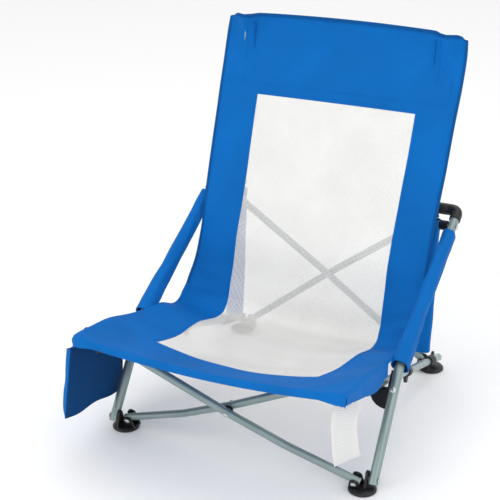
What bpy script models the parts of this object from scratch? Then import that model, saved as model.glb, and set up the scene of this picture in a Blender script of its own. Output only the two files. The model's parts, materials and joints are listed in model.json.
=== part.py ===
"""Folding camp chair: a low sling seat on a steel quad frame. Metres, +Z up, the sitter faces -Y."""
import math

import bmesh
import bpy
from mathutils import Matrix, Vector

# ---------------------------------------------------------------- driving dimensions
CENTRE = Vector((0.0149, 0.0665, 0.0))      # puts the chair's box over the origin
GAP = 0.0003                                # between surfaces that touch
RUN = 0.0005                                # beside parts that turn

LEG_R, BAR_R, REAR_R = 0.0095, 0.0078, 0.0075
WALL = 0.0011
SIDES = 16
BEND_R = 0.045
BEND_STEPS = 3

FRONT_LEAN = math.radians(21.0)             # the front X leans forward by this
REAR_LEAN = math.radians(9.2)               # the rear X leans forward by this
FRONT_CROSS = Vector((0.0, -0.300, 0.129))
REAR_CROSS = Vector((0.0, 0.213, 0.199))
LAYER = 0.0085                              # each bar of an X lies this far off the middle plane

FRONT_FOOT_PIN = (0.243, -0.1125)           # half spread, distance below the crossing
FRONT_LOW_BEND = (0.110, -0.058)
FRONT_HIGH_BEND = (0.165, 0.0996)
FRONT_CORNER_PIN = (0.235, 0.1170)
REAR_FOOT_PIN = (0.211, -0.176)
REAR_TOP_END = (0.228, 0.178)
BAR_END = 0.009                             # tube beyond the last pin
CORNER_END = 0.0055                         # the same at the corner hub

FOOT_R = 0.027
FOOT_TOP = 0.0080
FRONT_DISC = (0.255, 0.005)                 # half spread, distance behind the bar's pin
REAR_DISC = (0.227, 0.246)                  # half spread, y
LUG_FOOT = 0.0035                           # height at which the lugs start, inside the disc
LEG_PIN = Vector((0.2745, -0.2565, 0.0235))
LEG_BEND = Vector((0.2735, -0.134, 0.194))
ELBOW = Vector((0.272, 0.217, 0.3865))
UPRIGHT_X = 0.2175
UPRIGHT_LOW = Vector((UPRIGHT_X, 0.1869, 0.064))
UPRIGHT_TOP = Vector((UPRIGHT_X, 0.2470, 0.716))
SIDE_PIVOT = Vector((0.257, -0.3419, 0.2382))
SIDE_REAR_PIN = Vector((0.238, 0.252, 0.0265))
SIDE_TIP_REACH = 0.046                      # side bar in front of its pivot
PIN_MARGIN = 0.002                          # a drilling tool's reach beyond the tube
FRONT_EAR_T, FRONT_LUG_T = 0.0048, 0.0042   # the front foot's lugs: the leg's, and the bar's two
REAR_EAR_T, REAR_LUG_T = 0.0046, 0.0040     # the same on the rear foot
LEG_HUB_R, LEG_HUB_T = 0.0370, 0.0090
LEG_HUB_AT = 0.168                          # along the leg from its pin
REAR_HUB_BACK = 0.0430                      # down the arm tube from the elbow's corner
SIDE_COLLAR_Y, SEAT_CLIP_Y = 0.187, 0.006
CAP_POCKET_DEPTH = 0.082                    # the back's pocket reaches this far down the post
SLEEVE_ENDS = (0.036, 0.064)                # arm sleeve: from the leg's bend, and from the elbow

ELBOW_R = 0.0118
ELBOW_BEND_R = 0.0140
ELBOW_SOCKET = 0.026                        # the socket's length below the elbow's corner
SOCKET_DEPTH = 0.0168
STUB_R = 0.0068                             # the collar's stub, which turns in the elbow
COLLAR_WALL = 0.0036
SEAM_X = 0.2535                             # the elbow's turning seam
RIVET_R = 0.0028
RIVET_HEAD_R = 0.0058
RIVET_HEAD_H = 0.0022

SLING_T = 0.0016
SLEEVE_HALF = (0.0185, 0.0128)
POCKET_X = (-0.2900, -0.3160)               # the pocket's inner and outer faces
POCKET_YZ = [(-0.381, 0.230), (-0.215, 0.184), (-0.205, 0.058), (-0.406, 0.093)]
LABEL_TOP, LABEL_LOW = Vector((0.2620, -0.3690, 0.2340)), Vector((0.2585, -0.3620, 0.1240))
LABEL_W, LABEL_T = 0.046, 0.0008

# Sling stations from the seat's front tip to the top of the back:
# half width, edge y, edge z, how far the middle lies off the edge in y and z,
# and how much the edge wraps round the side bar.
SLING = [
    (0.2672, -0.405, 0.2760, 0.005, -0.0215, 1.0),
    (0.2672, -0.294, 0.2616, 0.000, -0.0474, 1.0),
    (0.2630, -0.185, 0.2310, 0.000, -0.042, 1.0),
    (0.2600, -0.093, 0.2110, 0.012, -0.044, 1.0),
    (0.2570, -0.015, 0.1840, 0.078, -0.059, 0.4),
    (0.2545, 0.058, 0.2400, 0.020, -0.036, 0.0),
    (0.2530, 0.092, 0.3050, 0.000, -0.010, 0.0),
    (0.2540, 0.124, 0.4000, 0.020, -0.004, 0.0),
    (0.2580, 0.169, 0.5000, 0.014, -0.003, 0.0),
    (0.2600, 0.209, 0.6000, 0.012, -0.002, 0.0),
    (0.2610, 0.247, 0.6950, 0.006, 0.000, 0.0),
    (0.2575, 0.259, 0.7380, 0.000, 0.003, 0.0),
]
WRAP_R = 0.0090                             # the edge's roll over the side bar
WRAP_A = 0.94
SPLIT_T = 4.5                               # the seat ends and the back starts here
MESH_A = 0.65                               # the mesh panel reaches this part of the half width
MESH_FRONT_T, MESH_TOP_T = 1.25, 8.82
PANEL_GAP = 0.003                           # in sling units, under 1 mm

COLOURS = {                                 # base colour, roughness, metallic
    "tube": ((0.235, 0.315, 0.315), 0.38, 0.6),
    "plastic": ((0.012, 0.012, 0.013), 0.45, 0.0),
    "rivet": ((0.62, 0.63, 0.64), 0.28, 1.0),
    "fabric": ((0.0, 0.162, 0.58), 0.75, 0.0),
    "mesh": ((0.80, 0.80, 0.78), 0.8, 0.0),
    "label": ((0.86, 0.86, 0.84), 0.7, 0.0),
}

X_AXIS = Vector((1.0, 0.0, 0.0))
FRONT_UP = Vector((0.0, -math.sin(FRONT_LEAN), math.cos(FRONT_LEAN)))
FRONT_OUT = Vector((0.0, -math.cos(FRONT_LEAN), -math.sin(FRONT_LEAN)))
REAR_UP = Vector((0.0, -math.sin(REAR_LEAN), math.cos(REAR_LEAN)))
REAR_OUT = Vector((0.0, -math.cos(REAR_LEAN), -math.sin(REAR_LEAN)))
LEG_DIR = (LEG_BEND - LEG_PIN).normalized()
ARM_DIR = (ELBOW - LEG_BEND).normalized()
SIDE_DIR = (SIDE_REAR_PIN - SIDE_PIVOT).normalized()
UPRIGHT_DIR = (UPRIGHT_TOP - UPRIGHT_LOW).normalized()
SIDES_LR = (("l", -1.0), ("r", 1.0))


# ---------------------------------------------------------------- places that follow from them
def flip(side, point):
    """The point, or its mirror image on the left side."""
    return Vector((side * point[0], point[1], point[2]))


def front_point(x, rise, layer):
    return FRONT_CROSS + X_AXIS * x + FRONT_UP * rise + FRONT_OUT * layer


def rear_point(x, rise, layer):
    return REAR_CROSS + X_AXIS * x + REAR_UP * rise + REAR_OUT * layer


def front_layer(foot_side):
    """The bar that stands on the right foot passes in front."""
    return LAYER * foot_side


def front_foot_pin(side):
    return front_point(side * FRONT_FOOT_PIN[0], FRONT_FOOT_PIN[1], front_layer(side))


def corner_pin(side):
    return front_point(side * FRONT_CORNER_PIN[0], FRONT_CORNER_PIN[1], front_layer(-side))


def rear_foot_pin(side):
    return rear_point(side * REAR_FOOT_PIN[0], REAR_FOOT_PIN[1], LAYER * side)


# ---------------------------------------------------------------- scene and bodies
def clear_scene():
    for item in list(bpy.data.objects):
        bpy.data.objects.remove(item, do_unlink=True)
    for block in (bpy.data.meshes, bpy.data.materials, bpy.data.curves):
        for item in list(block):
            block.remove(item)


def make_materials():
    made = {}
    for name, (colour, roughness, metallic) in COLOURS.items():
        mat = bpy.data.materials.new(name)
        mat.use_nodes = True
        shader = mat.node_tree.nodes["Principled BSDF"]
        shader.inputs["Base Color"].default_value = (*colour, 1.0)
        shader.inputs["Roughness"].default_value = roughness
        shader.inputs["Metallic"].default_value = metallic
        made[name] = mat
    return made


def body_table():
    """Each rigid body's name, its parent body, and the point its joint turns on."""
    table = {"cross_pin": (None, FRONT_CROSS)}
    table["front_bar_a"] = ("cross_pin", FRONT_CROSS)
    table["front_bar_b"] = ("cross_pin", FRONT_CROSS)
    for tag, side in SIDES_LR:
        low_bar = "front_bar_b" if side > 0 else "front_bar_a"
        high_bar = "front_bar_a" if side > 0 else "front_bar_b"
        table["front_foot_" + tag] = (low_bar, front_foot_pin(side))
        table["arm_" + tag] = ("front_foot_" + tag, flip(side, LEG_PIN))
        table["collar_" + tag] = ("arm_" + tag, flip(side, ELBOW))
        table["post_" + tag] = ("collar_" + tag, flip(side, UPRIGHT_LOW))
        table["corner_" + tag] = (high_bar, corner_pin(side))
        table["side_" + tag] = ("corner_" + tag, flip(side, SIDE_PIVOT))
        table["rear_foot_" + tag] = ("side_" + tag, flip(side, SIDE_REAR_PIN))
        table["rear_bar_" + tag] = ("rear_foot_" + tag, rear_foot_pin(side))
    return table


BODIES = body_table()


def make_empties():
    """One empty on each joint, parented in the order in which the chair folds."""
    made = {}
    for name, (parent, place) in BODIES.items():
        empty = bpy.data.objects.new("joint_" + name, None)
        empty.empty_display_size = 0.02
        bpy.context.scene.collection.objects.link(empty)
        if parent is None:
            empty.location = place + CENTRE
        else:
            empty.parent = made[parent]
            empty.location = place - BODIES[parent][1]
        made[name] = empty
    return made


def new_object(name, verts, faces):
    """A closed mesh in chair coordinates, with its faces turned outwards."""
    mesh = bpy.data.meshes.new(name)
    mesh.from_pydata([tuple(v) for v in verts], [], faces)
    work = bmesh.new()
    work.from_mesh(mesh)
    bmesh.ops.recalc_face_normals(work, faces=work.faces)
    if work.calc_volume(signed=True) < 0.0:
        bmesh.ops.reverse_faces(work, faces=work.faces)
    work.to_mesh(mesh)
    work.free()
    obj = bpy.data.objects.new(name, mesh)
    bpy.context.scene.collection.objects.link(obj)
    return obj


def combine(obj, tool, operation):
    """Boolean of two closed meshes; the tool is used up."""
    modifier = obj.modifiers.new("shape", "BOOLEAN")
    modifier.operation = operation
    modifier.solver = "EXACT"
    modifier.object = tool
    bpy.context.view_layer.update()
    evaluated = obj.evaluated_get(bpy.context.evaluated_depsgraph_get())
    result = bpy.data.meshes.new_from_object(evaluated)
    obj.modifiers.clear()
    obj.data = result
    result.name = obj.name
    bpy.data.objects.remove(tool, do_unlink=True)
    return obj


def cut(obj, tool):
    return combine(obj, tool, "DIFFERENCE")


def unite(obj, tool):
    return combine(obj, tool, "UNION")


def finish(obj, body, mat, sharp_degrees=38.0):
    """Puts a piece on its body: its origin moves to the joint, and it gets its material."""
    place = BODIES[body][1]
    obj.data.transform(Matrix.Translation(-place))
    obj.parent = EMPTIES[body]
    obj.data.materials.clear()
    obj.data.materials.append(MATERIALS[mat])
    obj.data.shade_smooth()
    obj.data.set_sharp_from_angle(angle=math.radians(sharp_degrees))
    return obj


# ---------------------------------------------------------------- shapes
def side_frame(direction):
    """Two unit vectors across a direction."""
    hint = X_AXIS if abs(direction.x) < 0.9 else Vector((0.0, 0.0, 1.0))
    first = direction.cross(hint).normalized()
    return first, direction.cross(first).normalized()


def rounded_path(points, radius, steps=BEND_STEPS):
    """The polyline with each inner corner replaced by a short curve."""
    path = [points[0]]
    for before, corner, after in zip(points, points[1:], points[2:]):
        arrive = (corner - before).normalized()
        leave = (after - corner).normalized()
        reach = radius * math.tan(arrive.angle(leave) / 2.0)
        start, end = corner - arrive * reach, corner + leave * reach
        for i in range(steps + 1):
            t = i / steps
            path.append(start * (1 - t) ** 2 + corner * (2 * t * (1 - t)) + end * t ** 2)
    path.append(points[-1])
    return path


def path_rings(path, sizes, sides):
    """Rings of points round a path; sizes gives the two half widths at each point."""
    rings = []
    tangent = (path[1] - path[0]).normalized()
    across, _ = side_frame(tangent)
    for i, point in enumerate(path):
        before = path[max(i - 1, 0)]
        after = path[min(i + 1, len(path) - 1)]
        tangent = (after - before).normalized()
        across = (across - tangent * across.dot(tangent)).normalized()
        other = tangent.cross(across)
        wide, high = sizes[i]
        ring = []
        for k in range(sides):
            angle = 2.0 * math.pi * (k + 0.5) / sides
            ring.append(point + across * (wide * math.cos(angle)) + other * (high * math.sin(angle)))
        rings.append(ring)
    return rings


def ring_faces(first, second, sides):
    return [(first + k, first + (k + 1) % sides, second + (k + 1) % sides, second + k) for k in range(sides)]


def hollow_tube(name, path, outer, inner, sides=SIDES):
    """A tube open at both ends; outer and inner are lists of half widths along the path."""
    verts, faces = [], []
    for sizes in (outer, inner):
        for ring in path_rings(path, sizes, sides):
            verts.extend(ring)
    count = len(path)
    for i in range(count - 1):
        faces += ring_faces(i * sides, (i + 1) * sides, sides)
        faces += ring_faces((count + i) * sides, (count + i + 1) * sides, sides)
    faces += ring_faces(0, count * sides, sides)
    faces += ring_faces((count - 1) * sides, (2 * count - 1) * sides, sides)
    return new_object(name, verts, faces)


def bent_tube(name, points, radius):
    path = rounded_path(points, BEND_R)
    outer = [(radius, radius)] * len(path)
    inner = [(radius - WALL, radius - WALL)] * len(path)
    return hollow_tube(name, path, outer, inner)


def turned(name, profile, base, axis, sides=SIDES, ring=False):
    """A profile of (height, radius) pairs turned round an axis; a ring's profile closes on itself."""
    axis = axis.normalized()
    first, second = side_frame(axis)
    verts, faces = [], []
    for height, radius in profile:
        for k in range(sides):
            angle = 2.0 * math.pi * k / sides
            out = first * math.cos(angle) + second * math.sin(angle)
            verts.append(base + axis * height + out * radius)
    count = len(profile)
    for i in range(count - 1):
        faces += ring_faces(i * sides, (i + 1) * sides, sides)
    if ring:
        faces += ring_faces((count - 1) * sides, 0, sides)
    else:
        faces.append(tuple(range(sides)))
        faces.append(tuple(range((count - 1) * sides, count * sides)))
    return new_object(name, verts, faces)


def prism(name, outline, base, across, up, depth_axis, low, high):
    """A flat outline of (across, up) pairs, extruded along depth_axis from low to high."""
    verts = []
    for depth in (low, high):
        for a, b in outline:
            verts.append(base + across * a + up * b + depth_axis * depth)
    count = len(outline)
    faces = ring_faces(0, count, count)
    faces.append(tuple(range(count)))
    faces.append(tuple(range(count, 2 * count)))
    return new_object(name, verts, faces)


def rectangle(low_a, high_a, low_b, high_b):
    return [(low_a, low_b), (high_a, low_b), (high_a, high_b), (low_a, high_b)]


def round_top(half, low, pin_height, top_r, steps=8):
    """A lug's outline: a base of the given half width, narrowing to a round top."""
    outline = [(-half, low), (half, low)]
    for i in range(steps + 1):
        angle = math.pi * i / steps
        outline.append((top_r * math.cos(angle), pin_height + top_r * math.sin(angle)))
    return outline


def hole(obj, centre, axis, half_length, radius=RIVET_R + GAP):
    tool = turned("tool", [(-half_length, radius), (half_length, radius)], centre, axis, 12)
    return cut(obj, tool)


def rivet(name, centre, axis, low, high, low_head=True, high_head=True):
    """A rivet whose heads stand outside the stretch from low to high."""
    profile = []
    if low_head:
        profile += [(low - RIVET_HEAD_H, RIVET_HEAD_R * 0.45), (low - RIVET_HEAD_H * 0.6, RIVET_HEAD_R * 0.85)]
        profile += [(low - GAP, RIVET_HEAD_R)]
        profile += [(low - GAP, RIVET_R)]
    else:
        profile += [(low, RIVET_R)]
    if high_head:
        profile += [(high + GAP, RIVET_R), (high + GAP, RIVET_HEAD_R)]
        profile += [(high + RIVET_HEAD_H * 0.6, RIVET_HEAD_R * 0.85), (high + RIVET_HEAD_H, RIVET_HEAD_R * 0.45)]
    else:
        profile += [(high, RIVET_R)]
    return turned(name, profile, centre, axis, 12)


# ---------------------------------------------------------------- the frame's tubes
def extend(path, start_reach, end_reach):
    """Moves a path's ends outwards."""
    start = path[0] + (path[0] - path[1]).normalized() * start_reach
    end = path[-1] + (path[-1] - path[-2]).normalized() * end_reach
    return [start] + path[1:-1] + [end]


def make_front_bars():
    half = BAR_R + PIN_MARGIN
    for letter, foot_side in (("a", -1.0), ("b", 1.0)):
        layer = front_layer(foot_side)
        points = [
            front_point(foot_side * FRONT_FOOT_PIN[0], FRONT_FOOT_PIN[1], layer),
            front_point(foot_side * FRONT_LOW_BEND[0], FRONT_LOW_BEND[1], layer),
            front_point(0.0, 0.0, layer),
            front_point(-foot_side * FRONT_HIGH_BEND[0], FRONT_HIGH_BEND[1], layer),
            front_point(-foot_side * FRONT_CORNER_PIN[0], FRONT_CORNER_PIN[1], layer),
        ]
        bar = bent_tube("front_bar_" + letter, extend(points, BAR_END, CORNER_END), BAR_R)
        for pin in (points[0], front_point(0.0, 0.0, layer), points[-1]):
            hole(bar, pin, FRONT_OUT, half)
        finish(bar, "front_bar_" + letter, "tube")
    edge = LAYER + BAR_R
    finish(rivet("front_cross_rivet", FRONT_CROSS, FRONT_OUT, -edge, edge), "cross_pin", "rivet")
    thick = LAYER - BAR_R - GAP
    loop = [(-thick, 0.0045), (-thick, 0.0095), (thick, 0.0095), (thick, 0.0045)]
    washer = turned("front_cross_washer", loop, FRONT_CROSS, FRONT_OUT, 16, ring=True)
    finish(washer, "cross_pin", "plastic")


def make_rear_bars():
    for tag, side in SIDES_LR:
        layer = LAYER * side
        points = [
            rear_foot_pin(side),
            rear_point(0.0, 0.0, layer),
            rear_point(-side * REAR_TOP_END[0], REAR_TOP_END[1], layer),
        ]
        bar = bent_tube("rear_bar_" + tag, extend(points, BAR_END, BAR_END), REAR_R)
        hole(bar, points[0], REAR_OUT, REAR_R + PIN_MARGIN)
        middle = rear_point(0.0, 0.0, layer)
        hole(bar, middle, REAR_OUT * side, REAR_R + PIN_MARGIN)
        body = "rear_bar_" + tag
        finish(bar, body, "tube")
        stud = rivet("rear_cross_rivet_" + tag, middle, REAR_OUT * side, -REAR_R + 0.001, REAR_R, False, True)
        finish(stud, body, "rivet")


def make_legs():
    for tag, side in SIDES_LR:
        body = "arm_" + tag
        start = flip(side, LEG_PIN - LEG_DIR * 0.0100)
        end = flip(side, ELBOW - ARM_DIR * 0.0105)
        leg = bent_tube("leg_" + tag, [start, flip(side, LEG_BEND), end], LEG_R)
        hole(leg, flip(side, LEG_PIN), X_AXIS, LEG_R + PIN_MARGIN)
        hole(leg, flip(side, leg_hub_rivet_place()), leg_hub_normal(), LEG_R + PIN_MARGIN)
        hole(leg, flip(side, rear_hub_place()), X_AXIS, LEG_R + PIN_MARGIN)
        finish(leg, body, "tube")


def make_side_bars():
    for tag, side in SIDES_LR:
        body = "side_" + tag
        start = flip(side, SIDE_PIVOT - SIDE_DIR * SIDE_TIP_REACH)
        end = flip(side, SIDE_REAR_PIN + SIDE_DIR * BAR_END)
        bar = bent_tube("side_bar_" + tag, [start, end], BAR_R)
        hole(bar, flip(side, SIDE_PIVOT), X_AXIS, BAR_R + PIN_MARGIN)
        hole(bar, flip(side, SIDE_REAR_PIN), X_AXIS, BAR_R + PIN_MARGIN)
        finish(bar, body, "tube")
        make_plug("side_bar_tip_" + tag, start, flip(side, -SIDE_DIR), BAR_R, body)


def make_uprights():
    for tag, side in SIDES_LR:
        body = "post_" + tag
        low, top = flip(side, UPRIGHT_LOW), flip(side, UPRIGHT_TOP)
        finish(bent_tube("upright_" + tag, [low, top], LEG_R), body, "tube")
        make_plug("upright_cap_" + tag, top, UPRIGHT_DIR, LEG_R, body)


def make_plug(name, place, out, radius, body):
    """A domed end plug whose stem goes into the tube."""
    stem = radius - WALL - GAP
    profile = [(-0.012, stem * 0.9), (-0.011, stem), (GAP, stem), (GAP, radius)]
    profile += [(0.0022, radius), (0.0038, radius * 0.72), (0.0044, radius * 0.3)]
    finish(turned(name, profile, place, out, 16), body, "plastic")


# ---------------------------------------------------------------- feet
def foot_disc(name, centre):
    profile = [(0.0, FOOT_R - 0.0012), (0.0012, FOOT_R), (0.0040, FOOT_R)]
    profile += [(0.0064, FOOT_R - 0.0022), (FOOT_TOP, FOOT_R - 0.0070)]
    return turned(name, profile, centre, Vector((0.0, 0.0, 1.0)), 28)


def add_lug(foot, base, across, up, depth, low, high, outline):
    return unite(foot, prism("lug", outline, base, across, up, depth, low, high))


def make_front_feet():
    side_y = Vector((0.0, 1.0, 0.0))
    up_z = Vector((0.0, 0.0, 1.0))
    for tag, side in SIDES_LR:
        pin = front_foot_pin(side)
        leg_pin = flip(side, LEG_PIN)
        centre = Vector((side * FRONT_DISC[0], pin.y + FRONT_DISC[1], 0.0))
        foot = foot_disc("front_foot_" + tag, centre)
        ear_face = -side * (LEG_R + RUN)
        ear_back = ear_face - side * FRONT_EAR_T
        rib = round_top(0.0155, LUG_FOOT, 0.0330, 0.0065)
        base = Vector((leg_pin.x, leg_pin.y, 0.0))
        add_lug(foot, base, side_y, up_z, X_AXIS, min(ear_face, ear_back), max(ear_face, ear_back), rib)
        for sign in (-1.0, 1.0):
            inner = sign * (BAR_R + RUN)
            outer = sign * (BAR_R + RUN + FRONT_LUG_T)
            drop = (pin.z + outer * FRONT_OUT.z - LUG_FOOT) / FRONT_UP.z
            outline = round_top(0.0120, -drop, 0.0, 0.0095)
            add_lug(foot, pin, X_AXIS, FRONT_UP, FRONT_OUT, min(inner, outer), max(inner, outer), outline)
        trim_below_floor(foot, centre)
        hole(foot, pin, FRONT_OUT, 0.030)
        hole(foot, leg_pin, X_AXIS, 0.0175)
        finish(foot, "front_foot_" + tag, "plastic")
        reach = BAR_R + RUN + FRONT_LUG_T
        bar_rivet = rivet("front_foot_rivet_" + tag, pin, FRONT_OUT, -reach, reach)
        finish(bar_rivet, "front_foot_" + tag, "rivet")
        reach = LEG_R + RUN + FRONT_EAR_T
        leg_rivet = rivet("leg_rivet_" + tag, leg_pin, X_AXIS * side, -reach, LEG_R, False, True)
        finish(leg_rivet, "front_foot_" + tag, "rivet")


def trim_below_floor(foot, centre):
    tool = prism("tool", rectangle(-0.06, 0.06, -0.06, 0.06), centre, X_AXIS, Vector((0.0, 1.0, 0.0)),
                 Vector((0.0, 0.0, 1.0)), -0.04, 0.0)
    return cut(foot, tool)


def make_rear_feet():
    side_y = Vector((0.0, 1.0, 0.0))
    up_z = Vector((0.0, 0.0, 1.0))
    for tag, side in SIDES_LR:
        pin = rear_foot_pin(side)
        bar_pin = flip(side, SIDE_REAR_PIN)
        centre = Vector((side * REAR_DISC[0], REAR_DISC[1], 0.0))
        foot = foot_disc("rear_foot_" + tag, centre)
        ear_face = -side * (BAR_R + RUN)
        ear_back = ear_face - side * REAR_EAR_T
        rib = round_top(0.0140, LUG_FOOT, 0.0330, 0.0060)
        base = Vector((bar_pin.x, bar_pin.y, 0.0))
        add_lug(foot, base, side_y, up_z, X_AXIS, min(ear_face, ear_back), max(ear_face, ear_back), rib)
        for sign in (-1.0, 1.0):
            inner = sign * (REAR_R + RUN)
            outer = sign * (REAR_R + RUN + REAR_LUG_T)
            drop = (pin.z + outer * REAR_OUT.z - LUG_FOOT) / REAR_UP.z
            outline = round_top(0.0105, -drop, 0.0, 0.0090)
            add_lug(foot, pin, X_AXIS, REAR_UP, REAR_OUT, min(inner, outer), max(inner, outer), outline)
        trim_below_floor(foot, centre)
        hole(foot, pin, REAR_OUT, 0.030)
        hole(foot, bar_pin, X_AXIS, 0.0160)
        finish(foot, "rear_foot_" + tag, "plastic")
        reach = REAR_R + RUN + REAR_LUG_T
        rear_rivet = rivet("rear_foot_rivet_" + tag, pin, REAR_OUT, -reach, reach)
        finish(rear_rivet, "rear_foot_" + tag, "rivet")
        reach = BAR_R + RUN + REAR_EAR_T
        side_rivet = rivet("side_bar_rivet_" + tag, bar_pin, X_AXIS * side, -reach, BAR_R, False, True)
        finish(side_rivet, "rear_foot_" + tag, "rivet")


# ---------------------------------------------------------------- hubs, elbows and collars
def make_corner_hubs():
    """Joins a front bar's upper end to the side bar, under the seat's corner."""
    thick, plate_gap, plate_t = 0.0040, 0.0011, 0.0032
    for tag, side in SIDES_LR:
        body = "corner_" + tag
        pin = corner_pin(side)
        pivot = flip(side, SIDE_PIVOT)
        plate_out = pivot.x - side * (BAR_R + plate_gap)
        plate_in = plate_out - side * plate_t
        low, high = sorted((plate_in, plate_out))
        middle = front_point(0.0, FRONT_CORNER_PIN[1], 0.0)
        half = LAYER + BAR_R + RUN + thick + 0.0006
        plate = rectangle(-half, half, -0.0140, 0.0072)
        hub = prism("corner_hub_" + tag, plate, middle, FRONT_OUT, FRONT_UP, X_AXIS, low, high)
        for sign in (-1.0, 1.0):
            inner = sign * (BAR_R + RUN)
            outer = sign * (BAR_R + RUN + thick)
            near, far = sorted((inner, outer))
            reach = side * (plate_in - pin.x) + 0.0018
            ear = rectangle(-0.0088, reach, -0.0095, 0.0068)
            unite(hub, prism("ear", ear, pin, X_AXIS * side, FRONT_UP, FRONT_OUT, near, far))
        hole(hub, pin, FRONT_OUT, 0.020)
        hole(hub, pivot, X_AXIS, 0.0135)
        finish(hub, body, "plastic")
        span = BAR_R + RUN + thick
        finish(rivet("corner_rivet_" + tag, pin, FRONT_OUT, -span, span), body, "rivet")
        reach = BAR_R + plate_gap + plate_t
        pivot_rivet = rivet("side_pivot_rivet_" + tag, pivot, X_AXIS * side, -reach, BAR_R, False, True)
        finish(pivot_rivet, body, "rivet")


def leg_hub_normal():
    """Across the leg, in its own upright plane."""
    return X_AXIS.cross(LEG_DIR).normalized()


def leg_hub_rivet_place():
    return LEG_PIN + LEG_DIR * LEG_HUB_AT


def make_leg_hubs():
    """A half-disc bracket on the leg's inner side; the side bar lies in its open slot."""
    for tag, side in SIDES_LR:
        body = "arm_" + tag
        centre = flip(side, leg_hub_rivet_place()) - X_AXIS * (side * (LEG_R + GAP))
        outline = [(0.0, -LEG_HUB_R)]
        for i in range(1, 12):
            angle = math.pi * i / 12 - math.pi / 2.0
            outline.append((LEG_HUB_R * math.cos(angle), LEG_HUB_R * math.sin(angle)))
        outline.append((0.0, LEG_HUB_R))
        outward = leg_hub_normal()
        hub = prism("leg_hub_" + tag, outline, centre, X_AXIS * -side, LEG_DIR, outward, -LEG_HUB_T, LEG_HUB_T * 0.1)
        slot_low = side_bar_height_on(centre.y + 0.8 * LEG_HUB_T) - BAR_R - 0.0036
        slot = rectangle(0.0032, 0.0225, slot_low, slot_low + 0.12)
        base = Vector((centre.x, centre.y, 0.0))
        tool = prism("tool", slot, base, X_AXIS * -side, Vector((0.0, 0.0, 1.0)), Vector((0.0, 1.0, 0.0)), -0.05, 0.05)
        cut(hub, tool)
        finish(hub, body, "plastic")
        place = flip(side, leg_hub_rivet_place())
        finish(rivet("leg_hub_rivet_" + tag, place, outward, -LEG_R, LEG_R), body, "rivet")


def side_bar_height_on(y):
    """Height of the side bar's centre line at a given y."""
    return SIDE_PIVOT.z + (y - SIDE_PIVOT.y) * SIDE_DIR.z / SIDE_DIR.y


def make_elbows():
    """The elbow is fixed on the arm tube's top; the collar turns in it and slides on the post."""
    for tag, side in SIDES_LR:
        corner = flip(side, ELBOW)
        inward = X_AXIS * -side
        seam = corner + inward * (ELBOW.x - SEAM_X)
        socket_end = flip(side, ELBOW - ARM_DIR * ELBOW_SOCKET)
        path = rounded_path([socket_end, corner, seam], ELBOW_BEND_R, 6)
        sizes = [(ELBOW_R, ELBOW_R)] * len(path)
        elbow = solid_sweep("elbow_" + tag, path, sizes)
        bore = [(-0.001, LEG_R + GAP), (SOCKET_DEPTH, LEG_R + GAP)]
        cut(elbow, turned("tool", bore, socket_end, flip(side, ARM_DIR)))
        stub = turned("tool", [(-0.0085, STUB_R + GAP), (0.001, STUB_R + GAP)], seam, inward)
        cut(elbow, stub)
        finish(elbow, "arm_" + tag, "plastic", 50.0)
        make_collar(tag, side, seam, inward)


def make_collar(tag, side, seam, inward):
    """Collar: a stub in the elbow, a round arm, and a sleeve round the post."""
    start = seam + inward * (GAP * 2.0)
    reach = abs(start.x) - UPRIGHT_X
    profile = [(-0.0080, STUB_R - 0.0004), (-0.0076, STUB_R), (0.0, STUB_R)]
    profile += [(0.0, ELBOW_R - 0.0004), (0.0008, ELBOW_R), (reach, ELBOW_R), (reach + 0.004, ELBOW_R * 0.8)]
    collar = turned("elbow_collar_" + tag, profile, start, inward)
    post = Vector((side * UPRIGHT_X, ELBOW.y, ELBOW.z))
    sleeve_r = LEG_R + COLLAR_WALL
    sleeve = turned("tool", [(-0.0150, sleeve_r - 0.001), (-0.0140, sleeve_r), (0.0140, sleeve_r),
                             (0.0150, sleeve_r - 0.001)], post, UPRIGHT_DIR)
    unite(collar, sleeve)
    cut(collar, turned("tool", [(-0.03, LEG_R + 0.0008), (0.03, LEG_R + 0.0008)], post, UPRIGHT_DIR))
    finish(collar, "collar_" + tag, "plastic", 50.0)


def solid_sweep(name, path, sizes, sides=SIDES):
    verts, faces = [], []
    for ring in path_rings(path, sizes, sides):
        verts.extend(ring)
    for i in range(len(path) - 1):
        faces += ring_faces(i * sides, (i + 1) * sides, sides)
    faces.append(tuple(range(sides)))
    faces.append(tuple(range((len(path) - 1) * sides, len(path) * sides)))
    return new_object(name, verts, faces)


def rear_hub_place():
    """On the arm tube's centre line, beside the rear bar's upper end."""
    return ELBOW - ARM_DIR * REAR_HUB_BACK


def make_rear_hubs():
    """A ribbed lug on the arm tube's inner side; the rear bar's upper end comes up to it."""
    for tag, side in SIDES_LR:
        body = "arm_" + tag
        place = flip(side, rear_hub_place())
        inward = X_AXIS * -side
        profile = []
        start = LEG_R + GAP
        for i in range(4):
            at = start + 0.0042 * i
            profile += [(at, 0.0102), (at + 0.0026, 0.0102), (at + 0.0026, 0.0086), (at + 0.0042, 0.0086)]
        hub = turned("rear_hub_" + tag, profile, place, inward, 16)
        hole(hub, place + inward * (start + 0.004), inward, 0.0095)
        finish(hub, body, "plastic")
        finish(rivet("rear_hub_rivet_" + tag, place, inward, -LEG_R, start + 0.012, True, False), body, "rivet")


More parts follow.
